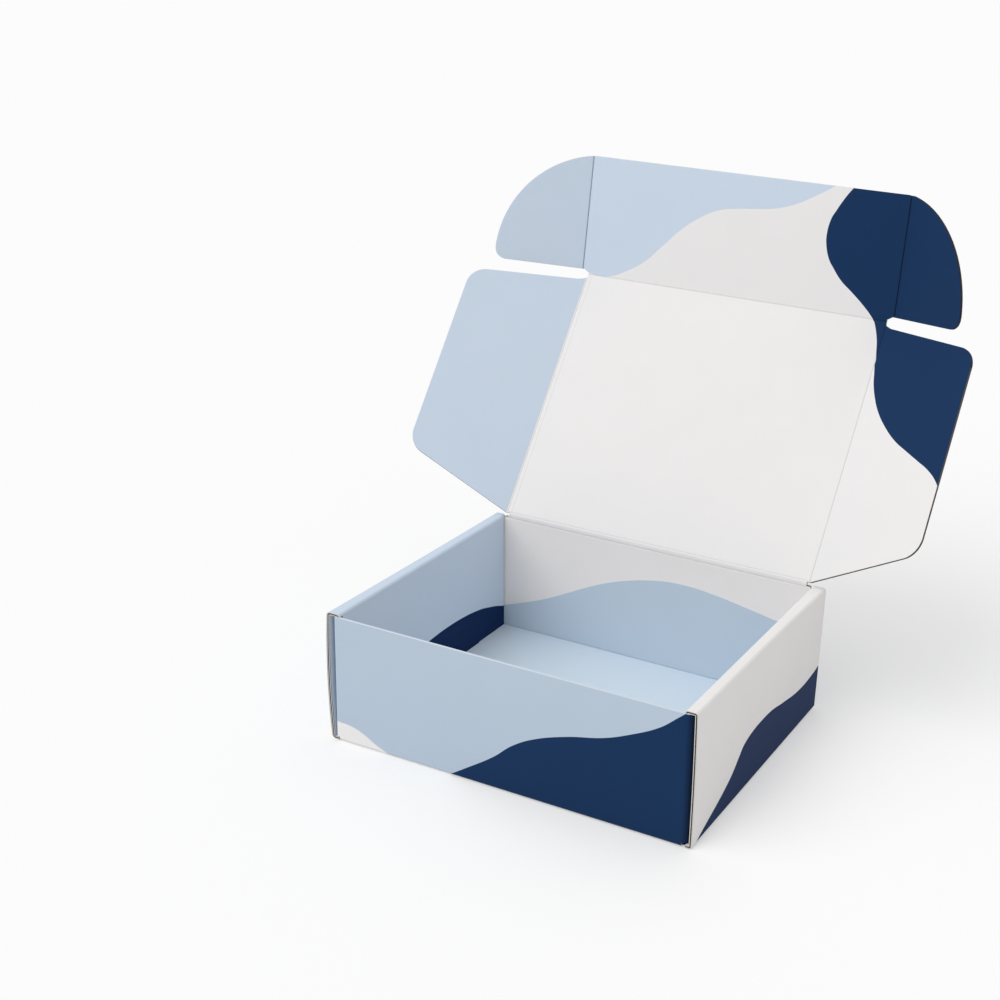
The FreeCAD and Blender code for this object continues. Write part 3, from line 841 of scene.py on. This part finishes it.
def flap(name, body, slot, node, plane, cut, inside, outside, closing=(), inked=math.inf):
    """A flat flap: cut is its raw outline, and closing the corners along its folds, in the plane's frame. From
    the height inked on, its cut is as dark as the print beside it."""
    piece = Piece(name)
    cut = np.array(cut, float)
    middle = np.mean(np.vstack([cut, np.array(closing).reshape(-1, 2)]), axis=0)
    ways = np.gradient(cut, axis=0)
    ways = ways / np.linalg.norm(ways, axis=1)[:, None]
    ways[0], ways[-1] = unit(cut[1] - cut[0]), unit(cut[-1] - cut[-2])
    outward = np.stack([ways[:, 1], -ways[:, 0]], 1)
    if np.sum((cut - middle) * outward) < 0:
        outward = -outward
    inset = cut - outward * LIP_WIDTH
    for end in (0, -1):
        if abs(ways[end][0]) > 0.2:  # keeps the inset's end on the fold
            inset[end] += ways[end] * (outward[end][0] * LIP_WIDTH) / ways[end][0]
    for sign, paint in ((1, inside), (-1, outside)):
        face = [plane.at(u, v, sign * HALF) for u, v in [*inset, *closing]]
        piece.polygon(face, paint, plane.n * sign)
        rows = [[plane.at(u, v, sign * HALF) for u, v in inset],
                [plane.at(u, v, sign * (HALF - LIP_DROP)) for u, v in cut]]
        piece.grid(rows, paint, plane.n * sign)
    centre = np.array([plane.at(u, v) for u, v in cut])
    facing = np.array([plane.u * a + plane.v * b for a, b in outward])
    across = np.array([-plane.n] * len(cut))
    turn = int(np.sum(cut[:, 1] < inked))
    for part, paints in ((slice(0, turn + 1), ("flap_cut", "flute")), (slice(turn, None), ("inked_cut", "core"))):
        if len(centre[part]) > 1:
            piece.raw_edge(centre[part], across[part], facing[part], cut[part, 0], HALF - LIP_DROP, FLAP_LINER,
                           paints)
    border = [cut[-1], *closing, cut[0]]
    for a, b in zip(border, border[1:]):
        way = unit(np.subtract(b, a))
        out = np.array([way[1], -way[0]])
        if (np.add(a, b) / 2 - middle) @ out < 0:
            out = -out
        wall = [plane.at(*a, HALF), plane.at(*b, HALF), plane.at(*b, -HALF), plane.at(*a, -HALF)]
        piece.polygon(wall, "cut", plane.u * out[0] + plane.v * out[1])
    made = piece.make(slot)
    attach(made, body)
    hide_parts(node)


def crease(name, slot, origin, along, span, into, normals, width, inside, outside, lines, bead=0.0,
           score=None):
    """The soft fold between two panels: lines pressed into its inner face, (share of its width, depth, and
    breadth in millimetres), with a bead beside or between them, and a shallow groove outside."""
    piece = Piece(name)
    origin = np.array(origin)
    a, b = (origin + unit(way) * width / 2 for way in into)
    inner, outer = [], []
    for k in range(CREASE_STEPS + 1):
        w = k / CREASE_STEPS
        spot = a * (1 - w) ** 2 + origin * 2 * w * (1 - w) + b * w**2
        way = unit((origin - a) * (1 - w) + (b - origin) * w)
        normal = normals[0] * (1 - w) + normals[1] * w
        normal = unit(normal - way * (normal @ way))
        depth = sum(deep * math.exp(-(((w - place) * width / broad) ** 2)) for place, deep, broad in lines)
        swell = bead * math.sin(math.pi * w) ** 2
        groove = GROOVE_DEPTH * math.exp(-(((w - 0.5) * width / GROOVE_BREADTH) ** 2))
        inner.append(spot + normal * (HALF - depth + swell))
        outer.append(spot - normal * (HALF - groove))
    along = unit(along)
    ends = [along * span[0], along * span[1]]
    if score:
        # Near its pressed lines an ear's crease takes the darker line paint: painted shade of the groove, over the
        # pressed ink.
        middles = [(k + 0.5) / CREASE_STEPS for k in range(CREASE_STEPS)]
        inked = [any(abs(w - place) * width < broad * LINE_INK for place, _, broad in lines) for w in middles]
        inside = [score if dark else inside for dark in inked]
    for points, paint, facing in ((inner, inside, normals[0]), (outer, outside, -np.array(normals[0]))):
        rows = [[point + end for end in ends] for point in points]
        piece.grid(rows, paint, facing)
    # The middle band of each end takes the dark core paint: painted shade between the liners.
    for end, facing in zip(ends, (-along, along)):
        rows = [[p * (1 - share) + q * share + end for p, q in zip(inner, outer)] for share in (0, 0.2, 0.8, 1)]
        piece.grid(rows, ["cut", "core", "cut"], facing)
    made = piece.make(slot)
    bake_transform(made)


tray_board = tray().make("white_print")
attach(tray_board, "tray")
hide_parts("tray")

side_reach = LID_HALF - SIDE_CREASE / 2
lid_near, lid_far = HINGE_CREASE / 2, LID_LENGTH - TUCK_CREASE / 2
web_start = WING_FAR + WING_GAP

# The lid's edge from a wing's slot up to the tuck flap's crease.
web = [*((u, web_start + v) for u, v in WEB_CORNERS), (WEB_HALF, lid_far)]
flap(
    "lid_board", "lid", "white_print", "lid_panel", lid_plane,
    web, "lid_in", "lid_out",
    [*((-u, v) for u, v in reversed(web)), (-side_reach, web_start), (-side_reach, lid_near),
     (side_reach, lid_near), (side_reach, web_start)],
)

tuck_reach = TUCK_HALF - SIDE_CREASE / 2
tuck_near = TUCK_CREASE / 2
flap(
    "tuck_board", "tuck", "white_print", "tuck_flap", tuck_plane,
    [(tuck_reach, TUCK_HEIGHT), (-tuck_reach, TUCK_HEIGHT)], "tuck_in", "tuck_out",
    [(-tuck_reach, SHOULDER), (-TUCK_ROOT, tuck_near), (TUCK_ROOT, tuck_near), (tuck_reach, SHOULDER)],
)

crease("lid_crease", "white_print", HINGE, X, (-side_reach, side_reach), (-Z, lid_plane.v),
       (-Y, lid_plane.n), HINGE_CREASE, "lid_in", "lid_out", [LID_LINE], LID_BEAD)
crease("tuck_crease", "white_print", tuck_plane.origin, X, (-WEB_HALF, WEB_HALF),
       (-lid_plane.v, tuck_plane.v), (lid_plane.n, tuck_plane.n), TUCK_CREASE, "tuck_in", "lid_out",
       [FLAP_LINE])

# By side: the paints of a wing and of an ear, the heights from which their cuts are as dark as navy print, the
# line pressed into a wing's crease, and the colour of the line in an ear's, darker as painted shade of its groove
# over the pressed ink.
WINGS = {
    "left": (("light_blue", "left_wing_out"), math.inf, FLAP_LINE),
    "right": (("right_wing_in", "right_wing_out"), 69.0, RIGHT_WING_LINE),
}
EARS = {
    "left": ("light_blue", "left_ear_out", math.inf, "blue_score"),
    "right": ("navy", "white", 0.0, "navy_score"),
}
root = SIDE_CREASE / 2
for hand, side in SIDES.items():
    paint, back, ear_inked, score = EARS[hand]
    slot = f"{paint}_print"

    plane = wing_planes[hand]
    wing_paints, wing_inked, line = WINGS[hand]
    near = (root, WING_RISE * root / WING_WIDTH)
    far = (WING_HEEL, WING_FAR - WING_DROP * WING_HEEL / WING_WIDTH)
    low, high = (WING_WIDTH, WING_RISE), (WING_WIDTH, WING_FAR - WING_DROP)
    outline = [near, *rounded(near, low, high, WING_CORNER), *rounded(low, high, far, WING_CORNER), far,
               (WING_SLOT, WING_FAR - WING_TIP), (root, web_start)]
    flap(f"{hand}_wing_board", f"{hand}_wing", slot, f"lid_{hand}_wing", plane, outline, *wing_paints,
         inked=wing_inked)
    crease(f"{hand}_wing_crease", "white_print", plane.origin, lid_plane.v,
           (near[1], web_start), (-side * X, plane.u), (lid_plane.n, plane.n), SIDE_CREASE, "lid_in", "lid_out",
           [line])

    plane = ear_planes[hand]
    near = (root, SHOULDER + (EAR_FOOT - SHOULDER) * root / EAR_WIDTH)
    outer, turn = (EAR_WIDTH, EAR_FOOT), (EAR_WIDTH, EAR_TURN)
    chord = np.array([-EAR_WIDTH, TUCK_HEIGHT - EAR_TURN])
    lean = np.array([-chord[1], chord[0]]) / np.linalg.norm(chord)
    heart = np.array(turn) + chord / 2 + lean * math.sqrt(EAR_RADIUS**2 - (np.linalg.norm(chord) / 2) ** 2)
    first = math.atan2(turn[1] - heart[1], turn[0] - heart[0])
    last = math.acos((root - heart[0]) / EAR_RADIUS)
    outline = [near, *rounded(near, outer, turn, EAR_CORNER), *arc(heart, EAR_RADIUS, first, last, EAR_STEPS)]
    flap(f"{hand}_ear_board", f"{hand}_ear", slot, f"tuck_{hand}_ear", plane, outline, paint, back,
         inked=ear_inked)
    crease(f"{hand}_ear_crease", slot, plane.origin, tuck_plane.v,
           (near[1], outline[-1][1]), (-side * X, plane.u), (tuck_plane.n, plane.n), SIDE_CREASE, paint, back,
           [EAR_LINE], EAR_BEAD, score=score)


# Floor, light and camera

FLOOR_REACH, FLOOR_LEVEL = 60, -0.0005
FLOOR_GREY, FLOOR_MATT, FLOOR_LIFT = 0.88, 0.62, 0.366
DOME_EVEN, DOME_TOP, BACKDROP = 0.455, 0.42, 0.973
KEY_STRENGTH, KEY_ANGLE, KEY_TOWARDS = 1.02, 52, (-0.38, -0.54, 0.75)

# Fitted to the photograph: the camera's place in millimetres, its right and its view, and its lens.
CAMERA_PLACE = (431.836, -789.955, 512.644)
CAMERA_RIGHT, CAMERA_VIEW = (0.897905, 0.438312, 0.040600), (-0.392640, 0.839197, -0.376275)
CAMERA_LENS, CAMERA_SHIFT = 56.69, (-0.17718, 0.01585)


def grey(value):
    return value, value, value, 1.0


# The floor is lit as a plain grey one. Seen directly it is matt with a lift, which keeps a soft shadow.
floor_mesh = bpy.data.meshes.new("floor")
corners = [(-1, -1), (1, -1), (1, 1), (-1, 1)]
floor_mesh.from_pydata([(x * FLOOR_REACH, y * FLOOR_REACH, FLOOR_LEVEL) for x, y in corners], [], [(0, 1, 2, 3)])
floor = bpy.data.objects.new("floor", floor_mesh)
bpy.context.scene.collection.objects.link(floor)
floor_paint, nodes = new_material("studio_floor")
lighting = nodes.add("ShaderNodeBsdfDiffuse", {"Color": grey(FLOOR_GREY)})
matt = nodes.add("ShaderNodeBsdfDiffuse", {"Color": grey(FLOOR_MATT)})
lift = nodes.add("ShaderNodeEmission", {"Color": grey(1.0), "Strength": FLOOR_LIFT})
shown = nodes.add("ShaderNodeAddShader", {0: matt.outputs[0], 1: lift.outputs[0]})
either = nodes.add("ShaderNodeMixShader", {0: nodes.shows_backdrop(), 1: lighting.outputs[0], 2: shown.outputs[0]})
nodes.add("ShaderNodeOutputMaterial", {"Surface": either.outputs[0]})
floor_mesh.materials.append(floor_paint)

# The dome is brighter overhead, and pale where it is seen directly.
world = bpy.data.worlds.new("studio")
world.use_nodes = True
world.node_tree.nodes.clear()
nodes = Nodes(world)
towards = nodes.add("ShaderNodeTexCoord").outputs["Generated"]
rise = nodes.math("MAXIMUM", nodes.dot(towards, Z), 0.0)
strength = nodes.math("MULTIPLY_ADD", rise, DOME_TOP, DOME_EVEN)
dome = nodes.add("ShaderNodeBackground", {"Color": grey(1.0), "Strength": strength})
plain = nodes.add("ShaderNodeBackground", {"Color": grey(BACKDROP)})
either = nodes.add("ShaderNodeMixShader", {0: nodes.shows_backdrop(), 1: dome.outputs[0], 2: plain.outputs[0]})
nodes.add("ShaderNodeOutputWorld", {"Surface": either.outputs[0]})
bpy.context.scene.world = world

lamp = bpy.data.lights.new("key", "SUN")
lamp.energy, lamp.angle = KEY_STRENGTH, math.radians(KEY_ANGLE)
key = bpy.data.objects.new("key", lamp)
key.rotation_mode = "QUATERNION"
key.rotation_quaternion = Vector(KEY_TOWARDS).to_track_quat("Z", "Y")
bpy.context.scene.collection.objects.link(key)

camera_data = bpy.data.cameras.new("camera")
camera_data.sensor_width, camera_data.lens = 36, CAMERA_LENS
camera_data.shift_x, camera_data.shift_y = CAMERA_SHIFT
camera_data.clip_start, camera_data.clip_end = 0.01, 50
camera = bpy.data.objects.new("camera", camera_data)
right, back = unit(CAMERA_RIGHT), -unit(CAMERA_VIEW)
up = np.cross(back, right)
spot = np.array(CAMERA_PLACE) * MM
camera.matrix_world = Matrix([(right[i], up[i], back[i], spot[i]) for i in range(3)] + [(0, 0, 0, 1)])
bpy.context.scene.collection.objects.link(camera)
bpy.context.scene.camera = camera
bpy.context.scene.view_settings.view_transform = "Standard"
